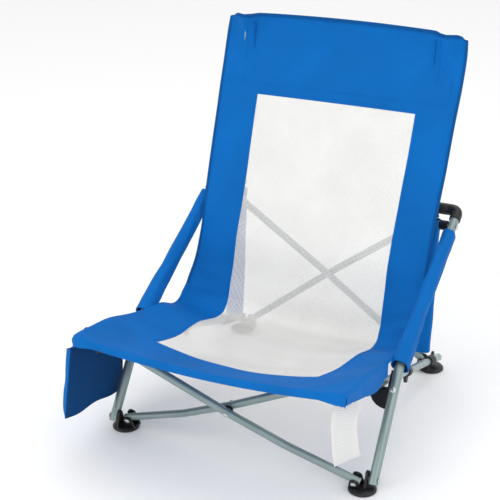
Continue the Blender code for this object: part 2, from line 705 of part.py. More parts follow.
def make_side_collars():
    """Ribbed collar round the side bar, just outside the post's lower end."""
    for tag, side in SIDES_LR:
        body = "side_" + tag
        place = flip(side, SIDE_PIVOT + SIDE_DIR * ((SIDE_COLLAR_Y - SIDE_PIVOT.y) / SIDE_DIR.y))
        inner = BAR_R + GAP
        profile = [(-0.0180, inner)]
        for i in range(5):
            at = -0.0180 + 0.0072 * i
            profile += [(at, 0.0116), (at + 0.0042, 0.0116), (at + 0.0042, 0.0100), (at + 0.0072, 0.0100)]
        profile[-1] = (0.0180, 0.0100)
        profile.append((0.0180, inner))
        collar = turned("side_collar_" + tag, profile, place, flip(side, SIDE_DIR), 16, ring=True)
        finish(collar, body, "plastic")


def make_seat_clips():
    """A saddle round the side bar with a tab below it, which holds the seat's strap."""
    for tag, side in SIDES_LR:
        body = "side_" + tag
        place = flip(side, SIDE_PIVOT + SIDE_DIR * ((SEAT_CLIP_Y - SIDE_PIVOT.y) / SIDE_DIR.y))
        along = flip(side, SIDE_DIR)
        down = along.cross(X_AXIS * -1.0).normalized()
        if down.z > 0.0:
            down = -down
        outer = BAR_R + 0.0032
        clip = turned("seat_clip_" + tag, [(-0.009, outer), (0.009, outer)], place, along, 16)
        tab = [(-0.0088, 0.0), (-0.0088, 0.0120), (0.0020, 0.0235), (0.0088, 0.0200), (0.0088, 0.0)]
        unite(clip, prism("tab", tab, place, along, down, X_AXIS, -0.0032, 0.0032))
        cut(clip, turned("tool", [(-0.02, BAR_R + GAP), (0.02, BAR_R + GAP)], place, along, SIDES))
        finish(clip, body, "plastic")


# ---------------------------------------------------------------- soft goods
def spline(values, t):
    """Smooth curve through equally spaced values, at parameter t."""
    last = len(values) - 1
    i = min(max(int(t), 0), last - 1)
    f = t - i
    p0, p1 = values[max(i - 1, 0)], values[i]
    p2, p3 = values[i + 1], values[min(i + 2, last)]
    return 0.5 * (2 * p1 + (p2 - p0) * f + (2 * p0 - 5 * p1 + 4 * p2 - p3) * f ** 2
                  + (3 * p1 - p0 - 3 * p2 + p3) * f ** 3)


def sling_point(a, t):
    """The sling's middle surface: a runs across from -1 to 1, t from the front tip to the top."""
    width, y, z, dy, dz, wrap = [spline([row[k] for row in SLING], t) for k in range(6)]
    belly = 1.0 - a * a
    flat_part = min(abs(a) / WRAP_A, 1.0)
    share = max(abs(a) - WRAP_A, 0.0) / (1.0 - WRAP_A)
    angle = share * math.pi / 2.0
    roll = share + wrap * (math.sin(angle) - share)
    x = (width - WRAP_R) * flat_part + WRAP_R * roll
    fall = wrap * WRAP_R * (1.0 - math.cos(angle))
    return Vector((math.copysign(x, a), y + dy * belly, z + dz * belly - fall))


def sling_normal(a, t):
    step = 0.02
    a = min(max(a, -1.0 + step / 2.0), 1.0 - step / 2.0)
    t_low, t_high = max(t - step, 0.0), min(t + step, len(SLING) - 1.0)
    step = step / 2.0
    across = sling_point(a + step, t) - sling_point(a - step, t)
    along = sling_point(a, t_high) - sling_point(a, t_low)
    return across.cross(along).normalized()


def panel(name, columns, rows, keep):
    """A thick sheet over the grid cells that keep(a, t) chooses, closed all round its edge."""
    index, verts, faces = {}, [], []

    def corner(i, j, layer):
        key = (i, j, layer)
        if key not in index:
            a, t = columns[i], rows[j]
            index[key] = len(verts)
            offset = SLING_T * (0.5 if layer else -0.5)
            verts.append(sling_point(a, t) + sling_normal(a, t) * offset)
        return index[key]

    cells = set()
    for i in range(len(columns) - 1):
        for j in range(len(rows) - 1):
            if keep((columns[i] + columns[i + 1]) / 2.0, (rows[j] + rows[j + 1]) / 2.0):
                cells.add((i, j))
    for i, j in sorted(cells):
        loop = [(i, j), (i + 1, j), (i + 1, j + 1), (i, j + 1)]
        faces.append(tuple(corner(p, q, 1) for p, q in loop))
        faces.append(tuple(corner(p, q, 0) for p, q in reversed(loop)))
        neighbours = [(i, j - 1), (i + 1, j), (i, j + 1), (i - 1, j)]
        for k, other in enumerate(neighbours):
            if other not in cells:
                first, second = loop[k], loop[(k + 1) % 4]
                faces.append((corner(*first, 1), corner(*first, 0), corner(*second, 0), corner(*second, 1)))
    return new_object(name, verts, faces)


def steps_between(low, high, count):
    return [low + (high - low) * i / count for i in range(count + 1)]


def make_sling():
    top_t = len(SLING) - 1.0
    side_columns = [-1.0, -0.97, -WRAP_A, -0.80, -MESH_A]
    centre_columns = steps_between(-MESH_A, MESH_A, 6)[1:-1]
    columns = side_columns + centre_columns + [-a for a in reversed(side_columns)]
    mesh_columns = steps_between(-MESH_A + PANEL_GAP, MESH_A - PANEL_GAP, 6)
    low_split, high_split = SPLIT_T - PANEL_GAP, SPLIT_T + PANEL_GAP
    seat_rows = [0.0, 0.6, MESH_FRONT_T, 2.0, 2.8, 3.4, 3.8, 4.2, low_split]
    back_rows = [high_split, 4.8, 5.2, 5.7, 6.3, 7.0, 7.9, MESH_TOP_T, 9.6, 10.4, top_t]
    seat = panel("seat_border", columns, seat_rows, lambda a, t: abs(a) > MESH_A or t < MESH_FRONT_T)
    back = panel("back_border", columns, back_rows, lambda a, t: abs(a) > MESH_A or t > MESH_TOP_T)
    for tag, side in SIDES_LR:
        add_post_pocket(back, side)
    finish(seat, "side_l", "fabric", 60.0)
    finish(back, "post_l", "fabric", 60.0)
    seat_mesh_rows = [MESH_FRONT_T + PANEL_GAP] + seat_rows[3:]
    back_mesh_rows = back_rows[:7] + [MESH_TOP_T - PANEL_GAP]
    finish(panel("seat_mesh", mesh_columns, seat_mesh_rows, lambda a, t: True), "side_l", "mesh", 60.0)
    finish(panel("back_mesh", mesh_columns, back_mesh_rows, lambda a, t: True), "post_l", "mesh", 60.0)


def add_post_pocket(back, side):
    """A pocket in the back's top corner, closed at its top, that stands on the post."""
    top = flip(side, UPRIGHT_TOP)
    bore, depth, roof = LEG_R + 0.0010, CAP_POCKET_DEPTH, 0.0062
    outer = bore + SLING_T
    unite(back, turned("pocket", [(-depth, outer), (roof + SLING_T, outer)], top, UPRIGHT_DIR, 16))
    cut(back, turned("tool", [(-depth - 0.2, bore), (roof, bore)], top, UPRIGHT_DIR, 16))


def make_sleeves():
    """Fabric sleeve round each arm: flat and wide at its mouth, closer at the top."""
    for tag, side in SIDES_LR:
        low = LEG_BEND + ARM_DIR * SLEEVE_ENDS[0]
        high = ELBOW - ARM_DIR * SLEEVE_ENDS[1]
        path = [flip(side, low.lerp(high, i / 6.0)) for i in range(7)]
        outer, inner = [], []
        for i in range(7):
            wide = SLEEVE_HALF[0] + 0.002 * (1.0 - i / 6.0)
            outer.append((wide, SLEEVE_HALF[1]))
            inner.append((wide - SLING_T, LEG_R + 0.0010))
        finish(hollow_tube("arm_sleeve_" + tag, path, outer, inner, 20), "arm_" + tag, "fabric", 60.0)


def make_pocket():
    """An open bag on the left, outside the leg: a flat inner face and an outer one."""
    inner_x, outer_x = POCKET_X
    origin = Vector((0.0, 0.0, 0.0))
    y_axis, z_axis = Vector((0.0, 1.0, 0.0)), Vector((0.0, 0.0, 1.0))
    bag = prism("side_pocket", POCKET_YZ, origin, y_axis, z_axis, X_AXIS, outer_x, inner_x)
    open_top = 30                               # the hollow runs out through the top
    hollow = []
    for (y, z), (in_y, in_z) in zip(POCKET_YZ, ((1, open_top), (-1, open_top), (-1, 1), (1, 1))):
        hollow.append((y + in_y * SLING_T, z + in_z * SLING_T))
    low_x, high_x = outer_x + SLING_T, inner_x - SLING_T
    cut(bag, prism("tool", hollow, origin, y_axis, z_axis, X_AXIS, low_x, high_x))
    finish(bag, "side_l", "fabric")


def make_label():
    """A thin label, sewn under the seat's right front and hanging in a slight curve."""
    rows = 6
    verts, faces = [], []
    for i in range(rows + 1):
        t = i / rows
        middle = LABEL_TOP.lerp(LABEL_LOW, t)
        middle.y -= 0.006 * math.sin(math.pi * t)
        for a, b in ((-0.5, -0.5), (0.5, -0.5), (0.5, 0.5), (-0.5, 0.5)):
            verts.append(middle + Vector((a * LABEL_W, b * LABEL_T + a * 0.004, 0.0)))
    for i in range(rows):
        faces += ring_faces(i * 4, i * 4 + 4, 4)
    faces += [(0, 1, 2, 3), tuple(range(rows * 4, rows * 4 + 4))]
    finish(new_object("care_label", verts, faces), "side_r", "label", 60.0)


clear_scene()
MATERIALS = make_materials()
EMPTIES = make_empties()
make_front_bars()
make_rear_bars()
make_legs()
make_side_bars()
make_uprights()
make_front_feet()
make_rear_feet()
make_corner_hubs()
make_leg_hubs()
make_elbows()
make_rear_hubs()
make_side_collars()
make_seat_clips()
make_sling()
make_sleeves()
make_pocket()
make_label()
bpy.context.view_layer.update()
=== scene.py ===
"""Folding camp chair: the finished surfaces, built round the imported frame.

Metres, +Z up, the sitter faces -Y. The surfaces are worked out on the chair's own middle plane, and build() moves
them by SHIFT into the frame. _l is the side at -X and _r the side at +X.
"""
import json
import math

import bmesh
import bpy
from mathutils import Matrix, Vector, noise


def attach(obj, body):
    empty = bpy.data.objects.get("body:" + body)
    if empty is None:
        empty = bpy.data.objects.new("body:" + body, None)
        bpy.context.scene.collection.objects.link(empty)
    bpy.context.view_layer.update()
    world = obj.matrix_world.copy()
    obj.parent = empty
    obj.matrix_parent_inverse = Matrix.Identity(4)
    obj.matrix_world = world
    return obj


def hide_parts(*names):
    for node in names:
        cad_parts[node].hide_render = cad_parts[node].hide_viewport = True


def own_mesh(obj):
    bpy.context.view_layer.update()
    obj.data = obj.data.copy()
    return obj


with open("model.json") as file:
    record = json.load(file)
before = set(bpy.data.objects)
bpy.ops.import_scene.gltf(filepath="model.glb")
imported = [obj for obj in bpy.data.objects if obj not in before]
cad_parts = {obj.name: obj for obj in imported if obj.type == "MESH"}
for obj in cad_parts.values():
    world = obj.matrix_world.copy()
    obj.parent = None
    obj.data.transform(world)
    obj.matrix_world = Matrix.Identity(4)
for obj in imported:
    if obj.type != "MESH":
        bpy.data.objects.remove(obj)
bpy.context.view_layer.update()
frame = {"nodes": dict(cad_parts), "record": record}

# ---------------------------------------------------------------- dimensions shared with the CAD
SHIFT = Vector((0.0149, 0.0665, 0.0))       # from the chair's own middle plane to the frame's origin
LEG_R, BAR_R = 0.0095, 0.0078
LEG_BEND = Vector((0.2735, -0.134, 0.194))
ELBOW = Vector((0.272, 0.217, 0.3865))
SIDE_PIVOT = Vector((0.257, -0.3419, 0.2382))
SIDE_REAR_PIN = Vector((0.238, 0.252, 0.0265))
UPRIGHT_X = 0.2175
UPRIGHT_LOW = Vector((UPRIGHT_X, 0.1869, 0.064))
UPRIGHT_TOP = Vector((UPRIGHT_X, 0.2470, 0.716))
ARM_DIR = (ELBOW - LEG_BEND).normalized()
X_AXIS = Vector((1.0, 0.0, 0.0))
SIDES_LR = (("l", -1.0), ("r", 1.0))

# ---------------------------------------------------------------- dimensions of the surfaces
# Sling stations from the seat's front tip to the top of the back: half width, edge y, edge z,
# how far the middle lies off the edge in y and z, and how much the edge wraps the side bar.
# A sling unit (t) is the step from one station to the next. The seat's middle hangs lower than in the CAD.
SLING = [
    (0.2672, -0.405, 0.2760, 0.005, -0.0215, 1.0),
    (0.2672, -0.294, 0.2616, 0.000, -0.0540, 1.0),
    (0.2630, -0.185, 0.2310, 0.000, -0.0620, 1.0),
    (0.2600, -0.093, 0.2110, 0.012, -0.0580, 1.0),
    (0.2570, -0.015, 0.1840, 0.078, -0.0590, 0.4),
    (0.2545, 0.058, 0.2400, 0.020, -0.0360, 0.0),
    (0.2530, 0.092, 0.3050, 0.000, -0.0100, 0.0),
    (0.2540, 0.124, 0.4000, 0.020, -0.0040, 0.0),
    (0.2580, 0.169, 0.5000, 0.014, -0.0030, 0.0),
    (0.2600, 0.209, 0.6000, 0.012, -0.0020, 0.0),
    (0.2610, 0.247, 0.6950, 0.006, 0.0000, 0.0),
    (0.2575, 0.259, 0.7380, 0.000, 0.0030, 0.0),
]
WRAP_R, WRAP_A = 0.0090, 0.94               # the edge rolls over the side bar from this share outwards
TOP_T = len(SLING) - 1.0
SPLIT_T = 4.5                               # the seat's piece ends and the back's begins
OVER_POST_T = 8.0                           # the cloth lies over the posts above this
TOP_HEM = 0.28                              # the top hem's height, in sling units
SIDE_HEM = 0.885                            # the side hem starts at this share of the side strip
BACK_HALF_W = 0.2600                        # half width of the back near its top
MESH_A = 0.65                               # the mesh's half width as a share of the sling's
FRONT_CURL_R = 0.0050                       # the seat's front edge turns down round this
FRONT_ROW = -0.13                           # the turned edge ends here, in sling units
MESH_FRONT_T, MESH_TOP_T = 1.22, 8.82
UNIT = 0.112                                # length of one sling unit at the seat's front
CLOTH_T, HEM_EXTRA, NET_T = 0.0014, 0.0012, 0.0008
PANEL_T = 0.0012                            # the pockets' cloth
SKIRT_REACH = BAR_R + 0.0030                # the side hem's radius round the side bar
SKIRT_FRONT, SKIRT_LENGTH = -0.4015, 0.2355
POST_POCKET_LOW, POST_POCKET_H, POST_POCKET_R = 0.618, 0.108, 0.0215
POST_SLEEVE_LOW, POST_SLEEVE_TOP = 0.070, 0.362
POCKET_FRONT_LOW, POCKET_REAR_LOW = Vector((0.0, -0.406, 0.091)), Vector((0.0, -0.192, 0.053))
POCKET_FRONT_TOP, POCKET_REAR_TOP = Vector((0.0, -0.372, 0.229)), Vector((0.0, -0.188, 0.176))
POCKET_X, POCKET_DEPTH, FLAP_X = -0.2915, 0.0235, -0.2900
LABEL_TOP, LABEL_LOW = Vector((0.2620, -0.3715, 0.2440)), Vector((0.2585, -0.3640, 0.1240))
LABEL_W = 0.046

CAMERA_AZIMUTH, CAMERA_ELEVATION = math.radians(24.78), math.radians(22.94)
CAMERA_TARGET = Vector((0.0, -0.2054, 0.4139)) + SHIFT
CAMERA_DISTANCE, CAMERA_LENS = 2.375, 93.05
LIGHT_AIM = Vector((0.0, 0.0, 0.35))
TINY = 1e-6                                 # spans and steps below this count as none
FIBRE_SCALE, LABEL_FIBRE_SCALE = 1100.0, 1500.0


# ---------------------------------------------------------------- materials
def new_material(name):
    mat = bpy.data.materials.new(name)
    mat.use_nodes = True
    nodes = mat.node_tree.nodes
    nodes.clear()
    out = nodes.new("ShaderNodeOutputMaterial")
    shader = nodes.new("ShaderNodeBsdfPrincipled")
    mat.node_tree.links.new(shader.outputs[0], out.inputs[0])
    return mat, shader


def add(mat, kind, **values):
    """A shader node, with its inputs and settings given by name."""
    node = mat.node_tree.nodes.new("ShaderNode" + kind)
    for key, value in values.items():
        if key in node.inputs:
            node.inputs[key].default_value = value
        else:
            setattr(node, key, value)
    return node


def link(mat, source, target):
    mat.node_tree.links.new(source, target)


def coordinates(mat, which="Object"):
    return add(mat, "TexCoord").outputs[which]


def noise_node(mat, vector, scale, detail=3.0):
    node = add(mat, "TexNoise", Scale=scale, Detail=detail)
    link(mat, vector, node.inputs["Vector"])
    return node.outputs["Fac"]


def ramp(mat, source, low, high, low_colour, high_colour):
    node = add(mat, "ValToRGB")
    node.color_ramp.elements[0].position = low
    node.color_ramp.elements[0].color = (*low_colour, 1.0)
    node.color_ramp.elements[1].position = high
    node.color_ramp.elements[1].color = (*high_colour, 1.0)
    link(mat, source, node.inputs["Fac"])
    return node.outputs["Color"]


def math_node(mat, operation, first, second):
    node = add(mat, "Math", operation=operation)
    for socket, value in zip(node.inputs, (first, second)):
        if isinstance(value, (int, float)):
            socket.default_value = value
        else:
            link(mat, value, socket)
    return node.outputs[0]


def bump(mat, shader, height, strength, distance):
    node = add(mat, "Bump", Strength=strength, Distance=distance)
    link(mat, height, node.inputs["Height"])
    link(mat, node.outputs[0], shader.inputs["Normal"])


def tinted(colour, share):
    """A lighter or darker version of a colour."""
    return tuple(min(channel * share, 1.0) for channel in colour)


def weave_height(mat, uv, scale):
    """Plain weave from two crossed sets of threads, along the cloth's own UV in metres."""
    split = add(mat, "SeparateXYZ")
    link(mat, uv, split.inputs[0])
    across = math_node(mat, "SINE", math_node(mat, "MULTIPLY", split.outputs[0], scale * math.pi), 0.0)
    along = math_node(mat, "SINE", math_node(mat, "MULTIPLY", split.outputs[1], scale * math.pi), 0.0)
    return math_node(mat, "MULTIPLY", across, along)


def cloth_material(name, colour, depth=1.0):
    mat, shader = new_material(name)
    weave = weave_height(mat, coordinates(mat, "UV"), FIBRE_SCALE)
    cloudy = noise_node(mat, coordinates(mat), 9.0, 4.0)
    fine = noise_node(mat, coordinates(mat), 900.0, 2.0)
    shade = ramp(mat, cloudy, 0.30, 0.72, tinted(colour, 0.90), tinted(colour, 1.10))
    threads = add(mat, "Mix", data_type="RGBA", blend_type="MULTIPLY")     # its colours are sockets 6 and 7
    threads.inputs[0].default_value = 0.30
    link(mat, shade, threads.inputs[6])
    link(mat, ramp(mat, fine, 0.35, 0.65, (0.72, 0.72, 0.72), (1.0, 1.0, 1.0)), threads.inputs[7])
    link(mat, threads.outputs[2], shader.inputs["Base Color"])
    shader.inputs["Roughness"].default_value = 0.72
    shader.inputs["Specular IOR Level"].default_value = 0.12
    height = math_node(mat, "ADD", math_node(mat, "MULTIPLY", weave, 0.6), fine)
    bump(mat, shader, height, 0.35 * depth, 0.0004)
    return mat


def net_material():
    """Open knitted mesh: small round holes in rows, half a pitch apart."""
    mat, shader = new_material("net_white")
    pitch = 0.0026
    uv = coordinates(mat, "UV")
    scaled = add(mat, "VectorMath", operation="SCALE", Scale=1.0 / pitch)
    link(mat, uv, scaled.inputs[0])
    holes = add(mat, "TexVoronoi", Scale=1.0, Randomness=0.0)
    link(mat, scaled.outputs[0], holes.inputs["Vector"])
    open_part = add(mat, "MapRange")
    open_part.inputs["From Min"].default_value = 0.30
    open_part.inputs["From Max"].default_value = 0.50
    open_part.inputs["To Min"].default_value = 0.12
    open_part.inputs["To Max"].default_value = 1.0
    link(mat, holes.outputs["Distance"], open_part.inputs["Value"])
    link(mat, open_part.outputs[0], shader.inputs["Alpha"])
    cloudy = noise_node(mat, coordinates(mat), 14.0)
    link(mat, ramp(mat, cloudy, 0.3, 0.7, (0.74, 0.73, 0.70), (0.82, 0.81, 0.78)), shader.inputs["Base Color"])
    shader.inputs["Roughness"].default_value = 0.7
    shader.inputs["Specular IOR Level"].default_value = 0.25
    bump(mat, shader, holes.outputs["Distance"], 0.5, 0.0004)
    return mat


def tube_material():
    mat, shader = new_material("tube_paint")
    where = coordinates(mat)
    grain = noise_node(mat, where, 700.0, 3.0)
    worn = noise_node(mat, where, 16.0, 5.0)
    paint = ramp(mat, worn, 0.30, 0.70, (0.215, 0.290, 0.285), (0.275, 0.355, 0.350))
    link(mat, paint, shader.inputs["Base Color"])
    rough = ramp(mat, worn, 0.25, 0.75, (0.30, 0.30, 0.30), (0.42, 0.42, 0.42))
    link(mat, rough, shader.inputs["Roughness"])
    shader.inputs["Metallic"].default_value = 0.55
    shader.inputs["Coat Weight"].default_value = 0.35
    shader.inputs["Coat Roughness"].default_value = 0.18
    bump(mat, shader, grain, 0.12, 0.0003)
    return mat


def plastic_material():
    mat, shader = new_material("plastic_black")
    where = coordinates(mat)
    grain = noise_node(mat, where, 1400.0, 2.0)
    scuffs = noise_node(mat, where, 60.0, 5.0)
    black = ramp(mat, scuffs, 0.35, 0.75, (0.004, 0.004, 0.0045), (0.010, 0.010, 0.011))
    link(mat, black, shader.inputs["Base Color"])
    link(mat, ramp(mat, scuffs, 0.3, 0.7, (0.34, 0.34, 0.34), (0.52, 0.52, 0.52)), shader.inputs["Roughness"])
    bump(mat, shader, grain, 0.18, 0.0002)
    return mat


def rivet_material():
    mat, shader = new_material("rivet_steel")
    where = coordinates(mat)
    brushed = noise_node(mat, where, 500.0, 3.0)
    link(mat, ramp(mat, brushed, 0.3, 0.7, (0.50, 0.51, 0.52), (0.68, 0.69, 0.70)), shader.inputs["Base Color"])
    link(mat, ramp(mat, brushed, 0.3, 0.7, (0.22, 0.22, 0.22), (0.36, 0.36, 0.36)), shader.inputs["Roughness"])
    shader.inputs["Metallic"].default_value = 1.0
    bump(mat, shader, brushed, 0.08, 0.0002)
    return mat


def label_material():
    """White satin tape with faint rules where a real label carries its print."""
    mat, shader = new_material("label_satin")
    uv = coordinates(mat, "UV")
    weave = weave_height(mat, uv, LABEL_FIBRE_SCALE)
    split = add(mat, "SeparateXYZ")
    link(mat, uv, split.inputs[0])
    waves = math_node(mat, "SINE", math_node(mat, "MULTIPLY", split.outputs[1], 1400.0), 0.0)
    lines = math_node(mat, "GREATER_THAN", waves, 0.55)
    off_centre = math_node(mat, "SUBTRACT", split.outputs[0], LABEL_W / 2.0)
    margin = math_node(mat, "LESS_THAN", math_node(mat, "ABSOLUTE", off_centre, 0.0), 0.017)
    printed = math_node(mat, "MULTIPLY", lines, margin)
    link(mat, ramp(mat, printed, 0.0, 1.0, (0.69, 0.69, 0.68), (0.60, 0.61, 0.63)), shader.inputs["Base Color"])
    shader.inputs["Roughness"].default_value = 0.5
    bump(mat, shader, weave, 0.2, 0.0002)
    return mat


BLUE = (0.0004, 0.135, 0.470)
MATERIALS = {
    "fabric": cloth_material("cloth_blue", BLUE),
    # The hems' cloth is the blue darkened as painted shade, standing in for the shade along the fold of the
    # back's top and side hems.
    "hem": cloth_material("cloth_hem_painted_shade", tinted(BLUE, 0.62)),
    "thread": cloth_material("thread_blue", tinted(BLUE, 1.25), 0.3),
    # The pocket's inner panel and its flap get the blue darkened as painted shade, standing in for the shade they
    # lie in.
    "painted_shade_blue": cloth_material("cloth_painted_shade", tinted(BLUE, 0.42)),
    "mesh": net_material(),
    "tube": tube_material(),
    "plastic": plastic_material(),
    "rivet": rivet_material(),
    "label": label_material(),
}


# ---------------------------------------------------------------- mesh helpers
def flip(side, point):
    return Vector((side * point[0], point[1], point[2]))


def build(name, verts, faces, mats, face_mats=None, uvs=None):
    """An object in the frame's own coordinates, from points in the chair's. uvs are per vertex, in metres."""
    mesh = bpy.data.meshes.new(name)
    mesh.from_pydata([tuple(Vector(v) + SHIFT) for v in verts], [], faces)
    for key in mats:
        mesh.materials.append(MATERIALS[key])
    if face_mats:
        mesh.polygons.foreach_set("material_index", face_mats)
    if uvs:
        layer = mesh.uv_layers.new(name="UVMap")
        for loop in mesh.loops:
            layer.data[loop.index].uv = uvs[loop.vertex_index]
    obj = bpy.data.objects.new(name, mesh)
    bpy.context.scene.collection.objects.link(obj)
    mesh.shade_smooth()
    mesh.set_sharp_from_angle(angle=math.radians(50.0))
    return obj


def face_outwards(obj):
    """Turns every face of a closed surface outwards."""
    work = bmesh.new()
    work.from_mesh(obj.data)
    bmesh.ops.recalc_face_normals(work, faces=work.faces)
    work.to_mesh(obj.data)
    work.free()


def ripple(point, size, height, seed):
    """Smooth deterministic waviness."""
    return noise.noise(Vector(point) / size + Vector((seed, seed * 0.37, 0.0))) * height


def spline(values, t):
    """A smooth curve through evenly spaced values."""
    last = len(values) - 1
    i = min(max(int(t), 0), last - 1)
    f = t - i
    p0, p1 = values[max(i - 1, 0)], values[i]
    p2, p3 = values[i + 1], values[min(i + 2, last)]
    return 0.5 * (2 * p1 + (p2 - p0) * f + (2 * p0 - 5 * p1 + 4 * p2 - p3) * f ** 2
                  + (3 * p1 - p0 - 3 * p2 + p3) * f ** 3)


def smooth_step(low, high, value):
    x = min(max((value - low) / (high - low), 0.0), 1.0)
    return x * x * (3.0 - 2.0 * x)


STATION_COLUMNS = [[row[k] for row in SLING] for k in range(6)]
HALF_WIDTHS, EDGE_HEIGHTS = STATION_COLUMNS[0], STATION_COLUMNS[2]


def post_y(z):
    """The posts' centre line at a given height."""
    share = (z - UPRIGHT_LOW.z) / (UPRIGHT_TOP.z - UPRIGHT_LOW.z)
    return UPRIGHT_LOW.y + (UPRIGHT_TOP.y - UPRIGHT_LOW.y) * share


def sling_point(a, t):
    """The cloth's middle surface: a runs across from -1 to 1, t from the front tip to the top."""
    if t < 0.0:
        return front_curl(a, -t * UNIT)
    width, y, z, dy, dz, wrap = [spline(column, t) for column in STATION_COLUMNS]
    belly = 1.0 - a * a
    flat_part = min(abs(a) / WRAP_A, 1.0)
    share = max(abs(a) - WRAP_A, 0.0) / (1.0 - WRAP_A)
    angle = share * math.pi / 2.0
    roll = share + wrap * (math.sin(angle) - share)
    x = (width - WRAP_R) * flat_part + WRAP_R * roll
    fall = wrap * WRAP_R * (1.0 - math.cos(angle))
    point = Vector((math.copysign(x, a), y + dy * belly, z + dz * belly - fall))
    # The top edge bows up in the middle and drops at its corners; the front corners lean back a little.
    crown = 0.005 * belly * smooth_step(TOP_T - 1.2, TOP_T, t)
    corner = 0.016 * smooth_step(0.86, 1.0, abs(a)) ** 2 * smooth_step(TOP_T - 0.35, TOP_T, t)
    point.z += crown - corner
    point.y += 0.008 * smooth_step(0.88, 1.0, abs(a)) ** 2 * (1.0 - smooth_step(0.0, 0.22, t))
    return over_post(point, a, t)


def front_curl(a, down):
    """The seat's front edge, turned down: the distance is measured along the cloth."""
    edge = sling_point(a, 0.0)
    quarter = FRONT_CURL_R * math.pi / 2.0
    angle = min(down, quarter) / FRONT_CURL_R
    drop = FRONT_CURL_R * (1.0 - math.cos(angle)) + max(down - quarter, 0.0)
    drop *= 1.0 + 0.8 * smooth_step(0.78, 0.97, abs(a))
    return edge + Vector((0.0, -FRONT_CURL_R * math.sin(angle), -drop))


def over_post(point, a, t):
    """Lifts the back's top corners over the posts that stand in their pockets."""
    if t < OVER_POST_T:
        return point
    off = abs(abs(point.x) - UPRIGHT_X)
    radius = LEG_R + 0.0026
    reach = 0.030
    if off < reach:
        lift = math.sqrt(max(radius ** 2 - min(off, radius) ** 2, 0.0))
        lift = max(lift, radius * 0.55 * (1.0 - smooth_step(radius * 0.6, reach, off)))
        limit = post_y(point.z) - lift
        fade = smooth_step(reach, radius, off)
        excess = max(point.y - limit, 0.0) * fade
        point.y -= excess
    return point


def sling_normal(a, t):
    """The cloth's normal, from short steps along it both ways."""
    step_a, step_t = 0.006, 0.02
    a = min(max(a, -1.0 + step_a), 1.0 - step_a)
    t_low, t_high = max(t - step_t, FRONT_ROW), min(t + step_t, TOP_T)
    across = sling_point(a + step_a, t) - sling_point(a - step_a, t)
    along = sling_point(a, t_high) - sling_point(a, t_low)
    return across.cross(along).normalized()


def wrinkle(a, t):
    """Small folds: across the bend, along the sides, and out from the front corners."""
    side = smooth_step(0.5, 0.95, abs(a))
    seed = 3.0 if a < 0.0 else 9.0
    folds = ripple((a * 3.0, t * 0.9, seed), 0.55, 0.0030, seed) * (0.25 + 0.75 * side)
    bend = math.exp(-((t - 4.3) / 0.55) ** 2)
    folds += bend * 0.0022 * math.sin(t * 15.0 + 3.0 * math.sin(a * 5.0)) * side
    corner = math.exp(-((t - 0.3) / 0.8) ** 2) * side
    folds += corner * 0.0016 * math.sin(22.0 * (abs(a) - 0.25 * t))
    calm = smooth_step(0.0, 0.25, t) * (1.0 - smooth_step(TOP_T - 0.3, TOP_T, t))
    return folds * calm * (1.0 - 0.7 * smooth_step(0.93, 1.0, abs(a)) * (t < 4.0))


def mesh_half(t):
    """How far the mesh reaches across, as a share of the half width: a little less at its front."""
    return MESH_A - 0.045 * (1.0 - smooth_step(MESH_FRONT_T, 3.4, t))


def steps_between(low, high, count):
    return [low + (high - low) * i / count for i in range(count + 1)]


# Columns: ("side", u) runs from the mesh's edge (0) to the sling's edge (1), ("mid", s) across the mesh.
SIDE_STEPS = [0.0, 0.04, 0.09, 0.22, 0.36, 0.5, 0.62, 0.72, 0.80, 0.86, SIDE_HEM, 0.90, 0.93, 0.96, 0.98, 1.0]
MID_STEPS = steps_between(-1.0, 1.0, 36)
COLUMNS = [("left", u) for u in reversed(SIDE_STEPS)] + [("mid", s) for s in MID_STEPS[1:-1]]
COLUMNS += [("right", u) for u in SIDE_STEPS]
FIRST_MID, LAST_MID = len(SIDE_STEPS) - 1, len(COLUMNS) - len(SIDE_STEPS)


def across_of(column, t):
    """Where a column lies across the sling, from -1 to 1."""
    kind, value = column
    half = mesh_half(t)
    if kind == "mid":
        return value * half
    a = half + (1.0 - half) * value
    return -a if kind == "left" else a


def sheet_grid(name, rows, is_used, mats, thick_of, mat_of=lambda i, j: 0):
    """A sheet of cloth with real thickness over the grid cells in use."""
    verts, faces, face_mats, uvs = [], [], [], []
    index = {}
    length = [0.0]
    for low, high in zip(rows, rows[1:]):
        length.append(length[-1] + (sling_point(MESH_A, high) - sling_point(MESH_A, low)).length)

    def corner(i, j, layer):
        key = (i, j, layer)
        if key not in index:
            t = rows[j]
            a = across_of(COLUMNS[i], t)
            point, normal = sling_point(a, t), sling_normal(a, t)
            offset = wrinkle(a, t) + thick_of(COLUMNS[i], t) * (0.5 if layer else -0.5)
            index[key] = len(verts)
            verts.append(point + normal * offset)
            uvs.append((a * spline(HALF_WIDTHS, t), length[j]))
        return index[key]

    cells = set()
    for i in range(len(COLUMNS) - 1):
        for j in range(len(rows) - 1):
            if is_used(i, j):
                cells.add((i, j))
    for i, j in sorted(cells):
        loop = [(i, j), (i + 1, j), (i + 1, j + 1), (i, j + 1)]
        slot = mat_of(i, j)
        faces.append(tuple(corner(p, q, 1) for p, q in loop))
        faces.append(tuple(corner(p, q, 0) for p, q in reversed(loop)))
        face_mats += [slot, slot]
        for k, other in enumerate([(i, j - 1), (i + 1, j), (i, j + 1), (i - 1, j)]):
            if other not in cells:
                one, two = loop[k], loop[(k + 1) % 4]
                faces.append((corner(*one, 1), corner(*one, 0), corner(*two, 0), corner(*two, 1)))
                face_mats.append(slot)
    return build(name, verts, faces, mats, face_mats, uvs)


def hem_thickness(column, t):
    """The outer edge is turned over and sewn, so it is thicker."""
    at_edge = column[0] != "mid" and column[1] >= SIDE_HEM
    at_top = t > TOP_T - TOP_HEM
    at_front = t < 0.0
    return CLOTH_T + (HEM_EXTRA if at_edge or at_top or at_front else 0.0)


def net_thickness(column, t):
    return NET_T


